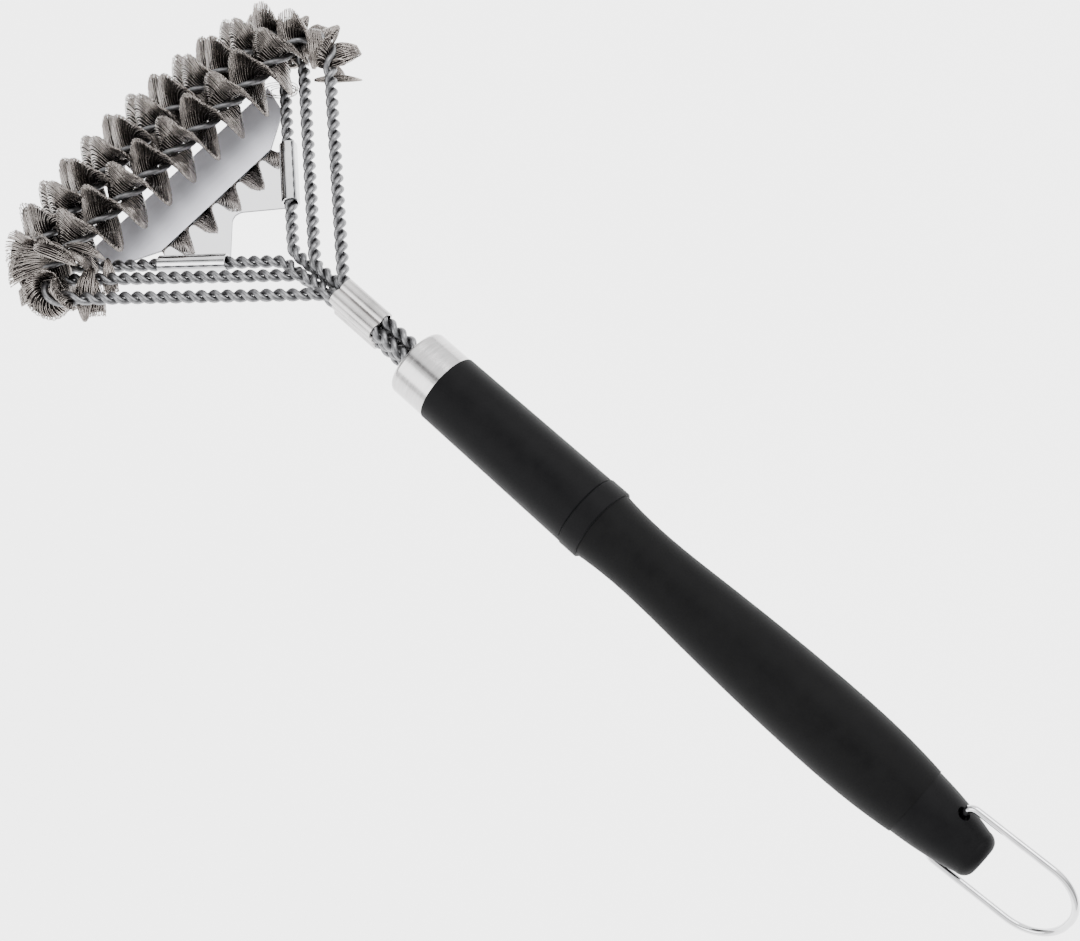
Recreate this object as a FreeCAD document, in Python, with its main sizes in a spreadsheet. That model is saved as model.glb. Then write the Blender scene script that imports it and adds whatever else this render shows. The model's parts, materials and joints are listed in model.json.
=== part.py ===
"""Grill cleaning brush: three staggered wire loops with twisted mesh rows, a scraper plate,
a crimped neck, a long round handle and a swinging hanging loop.

Design frame: Y runs along the handle axis towards the head, X along the rows, +Z is the cleaning
side. Every sub-part is then lifted so that the row frame's origin is the bottom centre of the
whole brush.
"""
import FreeCAD, Part
import Sketcher
import math
import os

V = FreeCAD.Vector

# Driving dimensions, in millimetres and degrees.
SIZES = {
    # placing of the whole brush
    "axis_height": 39.09, "origin_shift": 2.7,
    # twisted heavy wire
    "wire_dia": 2.4, "strand_gap": 0.22, "arm_lead": 9.9,
    "mesh_thick": 1.1, "mesh_radius": 13.6, "mesh_tail": 7.0, "mesh_room": 0.8,
    "mesh_corner_radius": 8.0, "corner_ease": 3.0,
    "mesh_pinch": 0.06, "lead_blend": 5.0, "pinch_blend": 4.0,
    "mesh_lean": 0.32, "lean_start": 2.9, "lean_tilt": 15.7,
    # wire bundle in the neck
    "bundle_half": 2.54, "bundle_step": 5.08, "bundle_end": 38.8, "bundle_front": 99.6,
    # loops
    "corner_radius": 8.0, "neck_bend_radius": 9.0, "arm_angle": 40.0,
    "top_vertex": 96.0, "top_row": 192.8, "top_bow": 0.6, "top_row_level": -8.5,
    "top_lead": 25.7, "top_phase": -0.1,
    "middle_vertex": 113.6, "middle_row": 206.5, "middle_bow": 4.0, "middle_row_level": -17.0,
    "middle_lead": 23.6, "middle_phase": 0.7, "middle_start_level": -3.1,
    "bottom_vertex": 127.5, "bottom_row": 214.6, "bottom_bow": 4.2, "bottom_row_level": -25.5,
    "bottom_lead": 23.6, "bottom_phase": 0.49, "bottom_start_level": -11.0,
    # crimp
    "crimp_back": 78.1, "crimp_front": 98.4, "crimp_wall": 0.7, "crimp_bore": 2.54,
    # scraper
    "plate_thick": 0.8, "sleeve_start": 26.0, "sleeve_length": 27.0, "sleeve_bore": 2.7,
    "web_drop": 3.25, "web_notch": 37.5, "web_shoulder_in": 5.0, "plate_bend": 47.3,
    "bend_half_width": 29.0, "blade_drop_angle": 12.0, "blade_reach": 29.4,
    "flare_half_width": 45.0, "flare_reach": 12.5, "tip_half_width": 50.0,
    # collar, anchor and tubes
    "collar_back": 45.3, "collar_front": 61.0, "collar_radius": 13.05, "collar_bore": 11.8,
    "collar_round": 1.6, "neck_hole": 8.4,
    "anchor_back": 25.0, "anchor_front": 58.9, "anchor_radius": 11.75, "anchor_floor": 38.0,
    "anchor_seat": 33.0, "anchor_hole": 4.6,
    "tube_back": -21.9, "tube_front_radius": 13.3, "tube_back_radius": 13.85, "tube_bore": 11.8,
    "tube_bevel": -21.45, "tube_edge_radius": 13.5,
    "core_back": -150.0, "core_radius": 10.0, "core_bore": 8.8,
    "ring_back": -29.7, "ring_radius": 14.15, "ring_spigot": -13.9, "ring_spigot_radius": 11.75,
    "ring_bore": 10.05, "ring_bevel_back": -29.3, "ring_bevel_front": -22.25, "ring_edge_radius": 13.75,
    # grip
    "grip_back": -167.3, "grip_core_radius": 11.2, "grip_core_bore": 10.05,
    "grip_front_radius": 13.3, "grip_neck": -43.5, "grip_neck_radius": 12.25,
    "grip_waist": -74.0, "grip_waist_radius": 13.1,
    "grip_swell": -124.0, "grip_swell_radius": 14.85,
    "grip_back_radius": 12.75, "grip_taper": -154.0, "grip_taper_radius": 14.15,
    # cap and hanging loop
    "cap_back": -194.9, "cap_front_radius": 12.45, "cap_mid": -181.0, "cap_mid_radius": 10.7,
    "cap_end_radius": 4.6, "cap_round": 4.2, "cap_shoulder": 3.9, "cap_round_out": 2.6,
    "cap_round_in": 1.1, "cap_spigot": -158.0, "cap_spigot_radius": 10.0,
    "hinge_at": -180.9, "hinge_roll": 58.0, "hinge_bore": 1.35, "hinge_drill": 20.0,
    "hinge_sink": 2.3, "hinge_sink_start": 8.2,
    "loop_wire": 2.5, "loop_half_width": 15.4, "loop_reach": 45.8, "loop_end_radius": 14.6,
    "loop_foot_radius": 2.6, "loop_foot_in": 6.5, "loop_rest_swing": 4.6,
}

# Stations along the twisted wires: per turn, round the wire, per mesh step and for the running angle.
STEPS_PER_TURN = 8
STRAND_SIDES = 8
RIBBON_SPLIT = 3
FINE_STEPS = 40

# Limits of the mesh blades, as shares of the bend radius and of the blade radius.
BEND_SHARE = 0.72
SEARCH_SHARE = 2.2

# Curvature (1/mm) and inward share below which a blade takes no notice of a bend.
STRAIGHT = 0.02
SIDEWAYS = 0.05

# Match tolerance, in millimetres and radians.
CLOSE = 1e-4

doc = FreeCAD.newDocument("grill_brush")
sheet = doc.addObject("Spreadsheet::Sheet", "sizes")
for row, (alias, value) in enumerate(SIZES.items(), start=1):
    sheet.set("A%d" % row, alias)
    sheet.set("B%d" % row, str(value))
    sheet.setAlias("B%d" % row, alias)
doc.recompute()

parts = []


def size(alias):
    return float(sheet.get(alias))


def place(obj):
    """Lift a sub-part from the handle's own frame to the row frame."""
    obj.Placement = FreeCAD.Placement(V(0, 0, 0), FreeCAD.Rotation())
    obj.setExpression("Placement.Base.y", "-sizes.origin_shift")
    obj.setExpression("Placement.Base.z", "sizes.axis_height")
    parts.append(obj)


# ---------------------------------------------------------------- turned pieces of the handle

def origin_plane(body, role):
    return [f for f in body.Origin.OriginFeatures if f.Role == role][0]


def turned_body(label, profile, rounding=None):
    """A body of revolution about Y. profile is a closed outline of (station, radius) aliases."""
    body = doc.addObject("PartDesign::Body", label)
    body.Label = label
    sketch = body.newObject("Sketcher::SketchObject", label + "_outline")
    sketch.AttachmentSupport = [(origin_plane(body, "XY_Plane"), "")]
    sketch.MapMode = "FlatFace"
    points = [V(size(radius), size(station), 0) for station, radius in profile]
    count = len(points)
    for i in range(count):
        sketch.addGeometry(Part.LineSegment(points[i], points[(i + 1) % count]), False)
    for i in range(count):
        sketch.addConstraint(Sketcher.Constraint("Coincident", i, 2, (i + 1) % count, 1))
    for i, (station, radius) in enumerate(profile):
        index = sketch.addConstraint(Sketcher.Constraint("DistanceX", -1, 1, i, 1, points[i].x))
        sketch.setExpression("Constraints[%d]" % index, "sizes." + radius)
        index = sketch.addConstraint(Sketcher.Constraint("DistanceY", -1, 1, i, 1, points[i].y))
        sketch.setExpression("Constraints[%d]" % index, "sizes." + station)
    turn = body.newObject("PartDesign::Revolution", label + "_turn")
    turn.Profile = sketch
    turn.ReferenceAxis = (sketch, ["V_Axis"])
    turn.Angle = 360
    doc.recompute()
    if rounding:
        station, radius, fillet_alias = rounding
        edges = [
            "Edge%d" % (n + 1) for n, edge in enumerate(turn.Shape.Edges)
            if isinstance(edge.Curve, Part.Circle)
            and abs(edge.Curve.Center.y - size(station)) < CLOSE
            and abs(edge.Curve.Radius - size(radius)) < CLOSE
        ]
        fillet = body.newObject("PartDesign::Fillet", label + "_round")
        fillet.Base = (turn, edges)
        fillet.setExpression("Radius", "sizes." + fillet_alias)
        doc.recompute()
    place(body)
    return body


def feature(label, shape):
    obj = doc.addObject("Part::Feature", label)
    obj.Label = label
    obj.Shape = shape
    place(obj)
    return obj


def make_handle():
    turned_body("steel_collar", [
        ("collar_back", "collar_bore"), ("collar_back", "collar_radius"),
        ("collar_front", "collar_radius"), ("collar_front", "neck_hole"),
        ("anchor_front", "neck_hole"), ("anchor_front", "collar_bore"),
    ], rounding=("collar_front", "collar_radius", "collar_round"))
    turned_body("wire_anchor", [
        ("anchor_back", "ring_bore"), ("anchor_back", "anchor_radius"),
        ("anchor_front", "anchor_radius"), ("anchor_front", "neck_hole"),
        ("anchor_floor", "neck_hole"), ("anchor_floor", "anchor_hole"),
        ("anchor_seat", "anchor_hole"), ("anchor_seat", "ring_bore"),
    ])
    turned_body("handle_tube", [
        ("tube_back", "tube_bore"), ("tube_back", "tube_edge_radius"),
        ("tube_bevel", "tube_back_radius"),
        ("collar_back", "tube_front_radius"), ("collar_back", "tube_bore"),
    ])
    turned_body("core_tube", [
        ("core_back", "core_bore"), ("core_back", "core_radius"),
        ("anchor_seat", "core_radius"), ("anchor_seat", "core_bore"),
    ])
    turned_body("joint_ring", [
        ("ring_back", "ring_bore"), ("ring_back", "ring_edge_radius"),
        ("ring_bevel_back", "ring_radius"), ("ring_bevel_front", "ring_radius"),
        ("tube_back", "ring_edge_radius"), ("tube_back", "ring_spigot_radius"),
        ("ring_spigot", "ring_spigot_radius"), ("ring_spigot", "ring_bore"),
    ])
    turned_body("grip_core", [
        ("grip_back", "grip_core_bore"), ("grip_back", "grip_core_radius"),
        ("ring_back", "grip_core_radius"), ("ring_back", "grip_core_bore"),
    ])


def revolved_face(edges):
    face = Part.Face(Part.Wire(edges))
    return face.revolve(V(0, 0, 0), V(0, 1, 0), 360)


def make_grip_sleeve():
    """Soft grip with a waisted outer contour, moulded over the straight core."""
    stations = ["ring_back", "grip_neck", "grip_waist", "grip_swell", "grip_taper", "grip_back"]
    radii = ["grip_front_radius", "grip_neck_radius", "grip_waist_radius",
             "grip_swell_radius", "grip_taper_radius", "grip_back_radius"]
    outer = [V(size(r), size(s), 0) for s, r in zip(stations, radii)]
    contour = Part.BSplineCurve()
    contour.interpolate(outer)
    inner_radius = size("grip_core_radius")
    inner_front = V(inner_radius, size("ring_back"), 0)
    inner_back = V(inner_radius, size("grip_back"), 0)
    edges = [
        contour.toShape(),
        Part.makeLine(outer[-1], inner_back),
        Part.makeLine(inner_back, inner_front),
        Part.makeLine(inner_front, outer[0]),
    ]
    feature("grip_sleeve", revolved_face(edges))


def hinge_direction():
    roll = math.radians(size("hinge_roll"))
    return V(math.cos(roll), 0, math.sin(roll))


def make_end_cap():
    """Tapered cap with a rounded end, a spigot into the grip core and the cross hole."""
    back = size("cap_back")
    front = size("grip_back")
    round_radius = size("cap_round")
    end_radius = size("cap_end_radius")
    spigot_radius = size("cap_spigot_radius")
    spigot_front = size("cap_spigot")
    mid = V(size("cap_mid_radius"), size("cap_mid"), 0)
    front_edge = V(size("cap_front_radius"), front, 0)
    round_start = V(end_radius + size("cap_shoulder"), back + round_radius, 0)
    round_middle = V(end_radius + size("cap_round_out"), back + size("cap_round_in"), 0)
    round_end = V(end_radius, back, 0)
    side = Part.BSplineCurve()
    side.interpolate([front_edge, mid, round_start])
    edges = [
        side.toShape(),
        Part.Arc(round_start, round_middle, round_end).toShape(),
        Part.makeLine(round_end, V(0, back, 0)),
        Part.makeLine(V(0, back, 0), V(0, spigot_front, 0)),
        Part.makeLine(V(0, spigot_front, 0), V(spigot_radius, spigot_front, 0)),
        Part.makeLine(V(spigot_radius, spigot_front, 0), V(spigot_radius, front, 0)),
        Part.makeLine(V(spigot_radius, front, 0), front_edge),
    ]
    solid = revolved_face(edges)
    axis = hinge_direction()
    reach = size("hinge_drill")
    start = V(0, size("hinge_at"), 0) - axis * reach
    solid = solid.cut(Part.makeCylinder(size("hinge_bore"), 2 * reach, start, axis))
    for outward in (axis, axis * -1):
        sink = V(0, size("hinge_at"), 0) + outward * size("hinge_sink_start")
        solid = solid.cut(Part.makeCylinder(size("hinge_sink"), reach, sink, outward))
    feature("end_cap", solid)


# ---------------------------------------------------------------- routes of round wire

def rounded_route(points, radii):
    """Straight runs joined by tangent arcs: a list of (kind, data) spans."""
    spans = []
    current = points[0]
    for i in range(1, len(points) - 1):
        before = (points[i] - points[i - 1]).normalize()
        after = (points[i + 1] - points[i]).normalize()
        turn = before.getAngle(after)
        if turn < CLOSE:
            continue
        cut = radii[i] * math.tan(turn / 2)
        start = points[i] - before * cut
        end = points[i] + after * cut
        bisector = (after - before).normalize()
        centre = points[i] + bisector * (radii[i] / math.cos(turn / 2))
        spans.append(("run", current, start))
        spans.append(("arc", start, end, centre, radii[i], turn))
        current = end
    spans.append(("run", current, points[-1]))
    return spans


def span_length(span):
    if span[0] == "run":
        return (span[2] - span[1]).Length
    return span[4] * span[5]


def point_on(span, along):
    """Point, tangent and inward curvature vector at a distance along one span."""
    if span[0] == "run":
        tangent = (span[2] - span[1]).normalize()
        return span[1] + tangent * along, tangent, V(0, 0, 0)
    start, centre, radius = span[1], span[3], span[4]
    outward = (start - centre).normalize()
    normal = outward.cross(span[2] - centre).normalize()
    forward = normal.cross(outward)
    angle = along / radius
    direction = outward * math.cos(angle) + forward * math.sin(angle)
    tangent = forward * math.cos(angle) - outward * math.sin(angle)
    return centre + direction * radius, tangent, direction * (-1.0 / radius)


def locate(spans, along):
    for span in spans:
        length = span_length(span)
        if along <= length or span is spans[-1]:
            return point_on(span, min(along, length))
        along -= length


def wire_edge(spans):
    edges = []
    for span in spans:
        if span[0] == "run":
            edges.append(Part.makeLine(span[1], span[2]))
        else:
            middle = point_on(span, span_length(span) / 2)[0]
            edges.append(Part.Arc(span[1], middle, span[2]).toShape())
    return Part.Wire(edges)


def round_sweep(spine, start, tangent, radius):
    circle = Part.Wire(Part.makeCircle(radius, start, tangent))
    return spine.makePipeShell([circle], True, False)


# ---------------------------------------------------------------- the three wire loops

LOOPS = ["top", "middle", "bottom"]


def loop_points(name):
    """Corner points of one loop, from the right bundle end round to the left one."""
    half = size("bundle_half")
    step = size("bundle_step")
    level = {"top": step, "middle": 0.0, "bottom": -step}[name]
    slope = math.tan(math.radians(size("arm_angle")))
    vertex = size(name + "_vertex")
    row = size(name + "_row")
    row_level = size(name + "_row_level")
    front = size("bundle_front")
    corner_x = (row - vertex) * slope
    right = [V(half, size("bundle_end"), level), V(half, front, level)]
    if name != "top":
        right.append(V(half, vertex + half / slope, size(name + "_start_level")))
    right.append(V(corner_x, row, row_level))
    crown = V(0, row + 2 * size(name + "_bow"), row_level)
    left = [V(-p.x, p.y, p.z) for p in reversed(right)]
    return right + [crown] + left


def loop_spans(name):
    points = loop_points(name)
    corner = size("corner_radius")
    middle = len(points) // 2
    radii = [size("neck_bend_radius")] * len(points)
    radii[middle - 1] = corner
    radii[middle + 1] = corner
    half_bar = points[middle - 1].x / 2
    rise = points[middle].y - points[middle - 1].y
    radii[middle] = half_bar / math.tan(math.atan2(rise, points[middle - 1].x))
    return rounded_route(points, radii)


class LoopRoute:
    """Centre line of a loop with its running twist angle."""

    def __init__(self, name):
        self.name = name
        self.spans = loop_spans(name)
        self.length = sum(span_length(span) for span in self.spans)
        corner = size("corner_radius")
        runs = []
        start = 0.0
        for span in self.spans:
            if span[0] == "arc" and abs(span[4] - corner) < CLOSE:
                runs.append((start, start + span_length(span)))
            start += span_length(span)
        self.row_start = runs[0][1]
        self.row_end = runs[1][0]
        self.mesh_start = runs[0][0] - size("mesh_tail")
        self.mesh_end = runs[1][1] + size("mesh_tail")
        self.samples = self.make_samples()

    def lead(self, along):
        """Lay of the twist: tight on the arms, long where the mesh is held."""
        inside = min(along - self.mesh_start, self.mesh_end - along) / size("lead_blend")
        share = max(0.0, min(1.0, 0.5 + 0.5 * inside))
        return size("arm_lead") * (1 - share) + size(self.name + "_lead") * share

    def mesh_radius(self, along):
        """Full blades along the row, shorter ones round the corners and on the arms."""
        past = max(self.row_start - along, along - self.row_end)
        share = max(0.0, min(1.0, 0.5 + 0.5 * past / size("corner_ease")))
        return size("mesh_radius") * (1 - share) + size("mesh_corner_radius") * share

    def make_samples(self):
        samples = []
        along = 0.0
        twist = 0.0
        middle_twist = None
        while along < self.length:
            samples.append((along, twist))
            step = self.lead(along) / (STEPS_PER_TURN * FINE_STEPS)
            for _ in range(FINE_STEPS):
                twist += 2 * math.pi * step / self.lead(along)
                along += step
                if middle_twist is None and along >= self.length / 2:
                    middle_twist = twist
        samples.append((self.length, twist))
        offset = math.pi / 2 - middle_twist + size(self.name + "_phase")
        return [(spot, angle + offset) for spot, angle in samples]

    def frame(self, along):
        point, tangent, bend = locate(self.spans, along)
        side = V(0, 0, 1).cross(tangent).normalize()
        up = tangent.cross(side)
        return point, tangent, side, up, bend

    def strand_radius(self, along):
        tight = (size("wire_dia") + size("strand_gap")) / 2
        wide = tight + size("mesh_thick") / 2 + size("mesh_pinch")
        inside = min(along - self.mesh_start, self.mesh_end - along) / size("pinch_blend")
        share = max(0.0, min(1.0, 1.0 + inside))
        return tight * (1 - share) + wide * share


def strand_shape(route, phase):
    """One heavy wire of a pair, lofted through rings that keep their roll along the wire."""
    centres = []
    outward = None
    for along, twist in route.samples:
        point, tangent, side, up, bend = route.frame(along)
        angle = twist + phase
        away = side * math.cos(angle) + up * math.sin(angle)
        outward = outward or away
        centres.append(point + away * route.strand_radius(along))
    radius = size("wire_dia") / 2
    last = len(centres) - 1
    rings = []
    for i, centre in enumerate(centres):
        forward = (centres[min(i + 1, last)] - centres[max(i - 1, 0)]).normalize()
        outward = (outward - forward * outward.dot(forward)).normalize()
        beside = forward.cross(outward)
        ring = []
        for k in range(STRAND_SIDES):
            turn = 2 * math.pi * k / STRAND_SIDES
            ring.append(centre + outward * (radius * math.cos(turn)) + beside * (radius * math.sin(turn)))
        rings.append(Part.makePolygon(ring + ring[:1]))
    return Part.makeLoft(rings, True, True)


def blade_length(route, others, station, direction):
    """How far one mesh blade may reach before it meets a neighbour or its own corner."""
    point, tangent, _, _, bend = route.frame(station)
    reach = route.mesh_radius(station)
    room = size("mesh_room")
    rope = size("wire_dia") + size("mesh_thick") / 2
    if bend.Length > STRAIGHT:
        inward = direction.dot(bend) / bend.Length
        if inward > SIDEWAYS:
            reach = min(reach, BEND_SHARE / bend.Length / inward)
    for other in others:
        nearest = None
        for along, _, spot in other.spots:
            offset = spot - point
            distance = offset.Length
            if distance > SEARCH_SHARE * size("mesh_radius"):
                continue
            forward = offset.dot(direction)
            beside = offset.dot(tangent)
            if forward > 0 and abs(beside) < rope + room:
                height = math.sqrt(max(0.0, distance ** 2 - forward ** 2 - beside ** 2))
                if height < rope + room:
                    reach = min(reach, forward - rope - room)
            if other.mesh_start <= along <= other.mesh_end:
                if nearest is None or distance < nearest.Length:
                    nearest = offset
        if nearest is not None:
            away = nearest.Length
            towards = direction.dot(nearest) / away
            if towards > CLOSE:
                reach = min(reach, (away / 2 - room) / towards)
    return max(reach, size("wire_dia"))


def leaned(offset):
    """The outer mesh leans along the row: forward blades one way, backward blades the other."""
    tilt = math.radians(size("lean_tilt"))
    forward = offset.dot(V(0, math.cos(tilt), math.sin(tilt)))
    beyond = max(0.0, abs(forward) - size("lean_start"))
    return offset + V(math.copysign(size("mesh_lean") * beyond, forward), 0, 0)


def ribbon_shape(route, others):
    """Flattened mesh tube, pinched between the two strands and twisted with them."""
    half = size("mesh_thick") / 2
    stations = []
    for (start, twist), (end, next_twist) in zip(route.samples, route.samples[1:]):
        if start < route.mesh_start or end > route.mesh_end:
            continue
        for part in range(RIBBON_SPLIT):
            share = part / RIBBON_SPLIT
            stations.append((start + (end - start) * share, twist + (next_twist - twist) * share))
    sections = []
    for along, twist in stations:
        point, tangent, side, up, _ = route.frame(along)
        across = twist + math.pi / 2
        out = side * math.cos(across) + up * math.sin(across)
        thick = tangent.cross(out) * half
        plus = blade_length(route, others, along, out)
        minus = blade_length(route, others, along, out * -1)
        plus_edge = point + leaned(out * plus)
        minus_edge = point + leaned(out * -minus)
        sections.append([
            plus_edge + thick, point + thick, minus_edge + thick,
            minus_edge - thick, point - thick, plus_edge - thick,
        ])
    count = len(sections[0])
    faces = []
    for end in (sections[0], sections[-1]):
        for corners in ((0, 1, 4, 5), (1, 2, 3, 4)):
            faces.append(Part.Face(Part.makePolygon([end[k] for k in corners + corners[:1]])))
    for here, there in zip(sections, sections[1:]):
        for k in range(count):
            near, far = here[k], here[(k + 1) % count]
            ahead, far_ahead = there[k], there[(k + 1) % count]
            if k < count // 2:
                halves = [[near, far, far_ahead], [near, far_ahead, ahead]]
            else:
                halves = [[near, far, ahead], [far, far_ahead, ahead]]
            for half_face in halves:
                faces.append(Part.Face(Part.makePolygon(half_face + half_face[:1])))
    shell = Part.Shell(faces)
    shell.sewShape()
    solid = Part.Solid(shell)
    if solid.Volume < 0:
        solid.reverse()
    return solid


def make_loops():
    routes = [LoopRoute(name) for name in LOOPS]
    for route in routes:
        route.spots = [(s, a, locate(route.spans, s)[0]) for s, a in route.samples]
    for route in routes:
        for number, phase in ((1, 0.0), (2, math.pi)):
            feature("%s_loop_wire_%d" % (route.name, number), strand_shape(route, phase))
        others = [other for other in routes if other is not route]
        feature("%s_mesh_row" % route.name, ribbon_shape(route, others))
    return routes


# ---------------------------------------------------------------- crimp, scraper, hanging loop

def bundle_centres():
    half = size("bundle_half")
    step = size("bundle_step")
    return [(x, z) for z in (-step, 0.0, step) for x in (-half, half)]


def make_crimp():
    """Pressed sleeve that follows the outline of the six wire ropes."""
    back = size("crimp_back")
    length = size("crimp_front") - back
    bore = size("crimp_bore")
    outer = None
    holes = None
    for x, z in bundle_centres():
        start = V(x, back, z)
        shell = Part.makeCylinder(bore + size("crimp_wall"), length, start, V(0, 1, 0))
        hole = Part.makeCylinder(bore, length, start, V(0, 1, 0))
        outer = shell if outer is None else outer.fuse(shell)
        holes = hole if holes is None else holes.fuse(hole)
    half = size("bundle_half")
    step = size("bundle_step")
    inside = Part.makeBox(2 * half, length, 2 * step, V(-half, back, -step))
    feature("crimp_ferrule", outer.removeSplitter().cut(holes).cut(inside))


def make_scraper(bottom_points):
    """Stamped plate: web and blade in one bend, and two tabs rolled round the arms."""
    middle = len(bottom_points) // 2
    corner = bottom_points[middle - 1]
    start = bottom_points[middle - 2]
    pitch = math.atan2(start.z - corner.z, corner.y - start.y)
    ahead = V(0, math.cos(pitch), -math.sin(pitch))
    above = V(0, math.sin(pitch), math.cos(pitch))
    arm = (corner - start).normalize()
    apex = start - arm * (start.x / arm.x)
    spread = math.atan2(arm.x, arm.dot(ahead))
    thick = size("plate_thick")
    bore = size("sleeve_bore")
    inner = size("sleeve_start")
    outer = inner + size("sleeve_length")
    level = -size("web_drop")
    bend = size("plate_bend")
    reach = size("blade_reach")
    drop = math.radians(size("blade_drop_angle"))
    corner_step = thick * math.tan(drop / 2)
    rear = [inner * math.sin(spread), inner * math.cos(spread)]
    front = [outer * math.sin(spread), outer * math.cos(spread)]
    step_in = size("web_shoulder_in")
    shoulder = [front[0] - step_in * math.cos(spread), front[1] + step_in * math.sin(spread)]

    def at(x, y, z):
        return apex + V(x, 0, 0) + ahead * y + above * z

    # Side profile of the folded strip, extruded across the head.
    wide = size("tip_half_width")
    tip = [bend + reach * math.cos(drop), level - reach * math.sin(drop)]
    profile = [
        at(-wide, rear[1], level), at(-wide, bend, level), at(-wide, tip[0], tip[1]),
        at(-wide, tip[0] + thick * math.sin(drop), tip[1] + thick * math.cos(drop)),
        at(-wide, bend + corner_step, level + thick), at(-wide, rear[1], level + thick),
    ]
    strip = Part.Face(Part.makePolygon(profile + profile[:1])).extrude(V(2 * wide, 0, 0))

    # Plan outline: notch at the back, steps beside the tabs, then the flared blade.
    flare_y = bend + size("flare_reach") * math.cos(drop)
    side = [
        rear, front, shoulder, [size("bend_half_width"), bend],
        [size("flare_half_width"), flare_y], [wide, tip[0]], [wide, tip[0] + thick],
    ]
    left_side = [[-x, y] for x, y in reversed(side)]
    plan = [at(x, y, -reach) for x, y in [[0, size("web_notch")]] + side + left_side]
    outline = Part.Face(Part.makePolygon(plan + plan[:1])).extrude(above * (2 * reach))
    plate = strip.common(outline)
    for sign in (1, -1):
        along = V(arm.x * sign, arm.y, arm.z)
        base = apex + along * inner
        plate = plate.fuse(Part.makeCylinder(bore + thick, outer - inner, base, along))
    for sign in (1, -1):
        along = V(arm.x * sign, arm.y, arm.z)
        plate = plate.cut(Part.makeCylinder(bore, 2 * outer, apex, along))
    feature("scraper_plate", plate)


def make_hang_loop():
    """Bent wire whose turned-in feet sit in the cap's cross hole."""
    axis = hinge_direction()
    hinge = V(0, size("hinge_at"), 0)
    swing = math.radians(size("loop_rest_swing"))
    back = V(0, -math.cos(swing), 0) + axis.cross(V(0, -1, 0)) * math.sin(swing)
    half = size("loop_half_width")
    reach = size("loop_reach")
    foot = size("loop_foot_radius")
    end = size("loop_end_radius")
    right = [hinge + axis * size("loop_foot_in"), hinge + axis * half, hinge + axis * half + back * reach]
    left = [p - axis * (2 * (p - hinge).dot(axis)) for p in reversed(right)]
    spans = rounded_route(right + left, [0, foot, end, end, foot, 0])
    spine = wire_edge(spans)
    feature("hang_loop", round_sweep(spine, right[0], axis, size("loop_wire") / 2))


def check_parts():
    doc.recompute()
    for obj in doc.Objects:
        if "Invalid" in obj.State or "Error" in obj.State:
            raise RuntimeError("failed feature: " + obj.Name)
    for obj in parts:
        if obj.Shape.isNull() or not obj.Shape.isValid():
            raise RuntimeError("bad shape: " + obj.Label)


make_handle()
make_grip_sleeve()
make_end_cap()
make_loops()
make_crimp()
make_scraper(loop_points("bottom"))
make_hang_loop()
check_parts()
os.makedirs("parts", exist_ok=True)
for obj in parts:
    obj.Shape.exportStep("parts/%s.step" % obj.Label)
    print(obj.Label, len(obj.Shape.Solids), round(obj.Shape.Volume, 1))
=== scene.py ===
"""Grill cleaning brush: looks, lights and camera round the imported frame.

Lengths in the builders below are millimetres in the handle's own frame: Y along the handle axis
towards the head, X along the mesh rows, Z towards the cleaning side. placed() turns them into
metres in the row frame.
"""

import json
import math

import bpy
import numpy as np
from mathutils import Matrix, Vector


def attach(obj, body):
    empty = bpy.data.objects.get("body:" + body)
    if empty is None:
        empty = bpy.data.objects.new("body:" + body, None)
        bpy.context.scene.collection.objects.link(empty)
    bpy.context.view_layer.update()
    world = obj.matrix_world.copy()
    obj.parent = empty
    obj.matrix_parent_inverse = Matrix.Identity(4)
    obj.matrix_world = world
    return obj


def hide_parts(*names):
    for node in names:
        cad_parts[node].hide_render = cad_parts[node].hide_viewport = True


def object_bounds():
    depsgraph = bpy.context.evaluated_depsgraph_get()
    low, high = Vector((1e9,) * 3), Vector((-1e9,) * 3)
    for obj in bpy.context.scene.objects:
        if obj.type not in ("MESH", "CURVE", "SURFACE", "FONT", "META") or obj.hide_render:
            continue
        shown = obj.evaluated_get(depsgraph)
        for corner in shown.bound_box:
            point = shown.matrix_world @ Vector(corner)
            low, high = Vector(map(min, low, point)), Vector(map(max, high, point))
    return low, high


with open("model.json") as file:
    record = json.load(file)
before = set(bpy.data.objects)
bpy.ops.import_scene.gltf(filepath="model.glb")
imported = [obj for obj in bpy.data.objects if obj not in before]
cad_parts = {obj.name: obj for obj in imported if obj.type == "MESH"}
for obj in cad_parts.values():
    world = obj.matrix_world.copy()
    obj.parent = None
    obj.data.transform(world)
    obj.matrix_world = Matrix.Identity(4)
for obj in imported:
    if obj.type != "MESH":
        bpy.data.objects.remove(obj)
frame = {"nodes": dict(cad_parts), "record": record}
cad_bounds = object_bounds()
nodes = frame["nodes"]
hinge = frame["record"]["behaviour"]["joints"][0]
HINGE_STATION = -180.9
BASE = np.array([0.0, hinge["pos_m"][1] - HINGE_STATION / 1000, hinge["pos_m"][2]])
rng = np.random.default_rng(7)


def placed(points):
    return np.asarray(points, float) / 1000 + BASE


# ---------------------------------------------------------------- materials

def new_material(name):
    material = bpy.data.materials.new(name)
    material.use_nodes = True
    tree = material.node_tree
    return material, tree, tree.nodes["Principled BSDF"]


def node(tree, kind, **settings):
    made = tree.nodes.new(kind)
    for key, value in settings.items():
        if key in made.inputs.keys():
            made.inputs[key].default_value = value
        else:
            setattr(made, key, value)
    return made


def ramp(tree, source, stops):
    made = tree.nodes.new("ShaderNodeValToRGB")
    elements = made.color_ramp.elements
    while len(elements) < len(stops):
        elements.new(0.5)
    for element, (position, colour) in zip(elements, stops):
        element.position = position
        element.color = (*colour, 1)
    tree.links.new(source, made.inputs["Fac"])
    return made


def grey(value):
    return (value, value, value)


BUMP_DEPTH = 0.0001


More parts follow.
